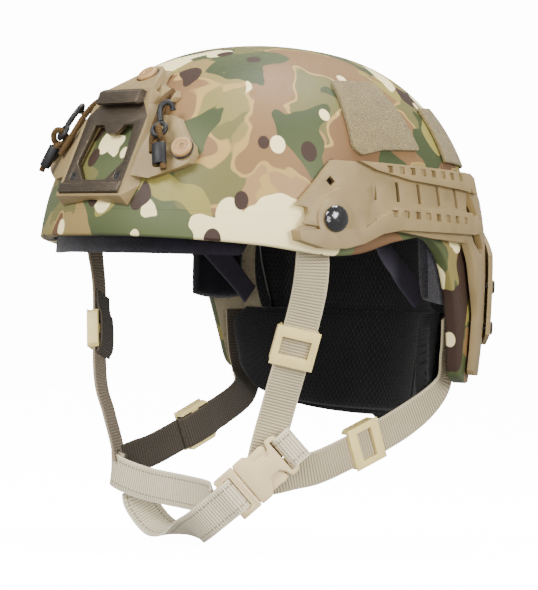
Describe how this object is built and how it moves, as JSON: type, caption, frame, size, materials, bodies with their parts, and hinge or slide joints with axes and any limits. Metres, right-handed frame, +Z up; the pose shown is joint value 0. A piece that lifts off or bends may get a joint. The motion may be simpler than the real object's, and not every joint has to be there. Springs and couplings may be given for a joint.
{
  "type": "combat helmet",
  "caption": "High-cut ballistic helmet with side rails, front device shroud, padded liner, nape dial fit and four-point chin strap.",
  "frame": {"origin": "centre of the head opening in the brim plane, where the head sits", "axes": "the wearer faces -Y, +X is the wearer's left, +Z is up"},
  "size_m": [0.2486, 0.2802, 0.2995],
  "materials": {
    "shell": "matt painted",
    "tan_polymer": "matt moulded",
    "tan_bolt": "matt",
    "bronze": "satin anodised",
    "black_steel": "satin",
    "black_gloss": "gloss",
    "black_plastic": "matt",
    "rubber": "matt",
    "cord": "woven",
    "shrink": "satin",
    "loop": "pile",
    "brown_loop": "pile",
    "felt": "brushed",
    "band": "woven",
    "webbing": "woven",
    "buckle": "moulded"
  },
  "bodies": {
    "helmet": {"shell": "shell", "shroud_frame": "tan_polymer", "shroud_insert": "bronze", "insert_screws": "black_steel", "shroud_bolts": "tan_bolt", "shroud_washers": "black_steel", "shroud_nuts": "black_steel", "bungee_left": "cord", "bungee_right": "cord", "bungee_hook_left": "black_plastic", "bungee_hook_right": "black_plastic", "bungee_sleeve_left": "shrink", "bungee_sleeve_right": "shrink", "rail_left": "tan_polymer", "rail_right": "tan_polymer", "rail_bolts": "black_gloss", "rail_nuts": "black_steel", "rail_bumpers": "rubber", "rear_plate": "tan_polymer", "rear_panel": "brown_loop", "rear_bolts": "black_steel", "side_loop_left": "loop", "side_loop_right": "loop", "rear_loop": "loop", "brow_pad": "felt", "crown_pad": "felt", "side_pad_left": "felt", "side_pad_right": "felt", "rear_pad": "felt", "pad_hook_discs": "black_plastic", "fit_band_left": "band", "fit_band_right": "band", "lace": "band", "strap_anchors": "black_steel", "strap_front_left": "webbing", "strap_front_right": "webbing", "strap_rear_left": "webbing", "strap_rear_right": "webbing", "chin_band_upper": "webbing", "chin_band_lower": "webbing", "buckle_prong": "buckle"},
    "nape": {"nape_pad": "felt", "nape_backing": "felt", "nape_carrier": "black_plastic", "dial_case": "black_plastic"},
    "dial": {"dial_knob": "rubber", "dial_spool": "black_plastic"},
    "buckle": {"buckle_socket": "buckle", "buckle_tab": "webbing"},
    "slider_fl": {"slider_front_left": "buckle"},
    "slider_fr": {"slider_front_right": "buckle"},
    "slider_rl": {"slider_rear_left": "buckle"},
    "slider_rr": {"slider_rear_right": "buckle"}
  },
  "joints": [
    {"name": "nape_slide", "type": "slide", "parent": "helmet", "child": "nape", "axis": [0, -1, 0], "range_m": [0, 0.012]},
    {"name": "dial_turn", "type": "hinge", "parent": "nape", "child": "dial", "pos_m": [0, 0.10578, -0.086], "axis": [0, 0.994, -0.1097], "range_deg": [0, 720]},
    {"name": "buckle_release", "type": "slide", "parent": "helmet", "child": "buckle", "axis": [0.5078, 0.5167, 0.6893], "range_m": [0, 0.016]},
    {"name": "slider_fl_slide", "type": "slide", "parent": "helmet", "child": "slider_fl", "axis": [-0.3652, 0.0609, -0.9289], "range_m": [-0.01, 0.01]},
    {"name": "slider_fr_slide", "type": "slide", "parent": "helmet", "child": "slider_fr", "axis": [0.2492, -0.1292, -0.9598], "range_m": [-0.01, 0.01]},
    {"name": "slider_rl_slide", "type": "slide", "parent": "helmet", "child": "slider_rl", "axis": [-0.0759, -0.9112, -0.405], "range_m": [-0.01, 0.01]},
    {"name": "slider_rr_slide", "type": "slide", "parent": "helmet", "child": "slider_rr", "axis": [0.0311, -0.9031, -0.4282], "range_m": [-0.01, 0.01]}
  ],
  "couplings": [
    {"joint": "dial_turn", "follows": "nape_slide", "rad_per_m": 1047.2}
  ]
}
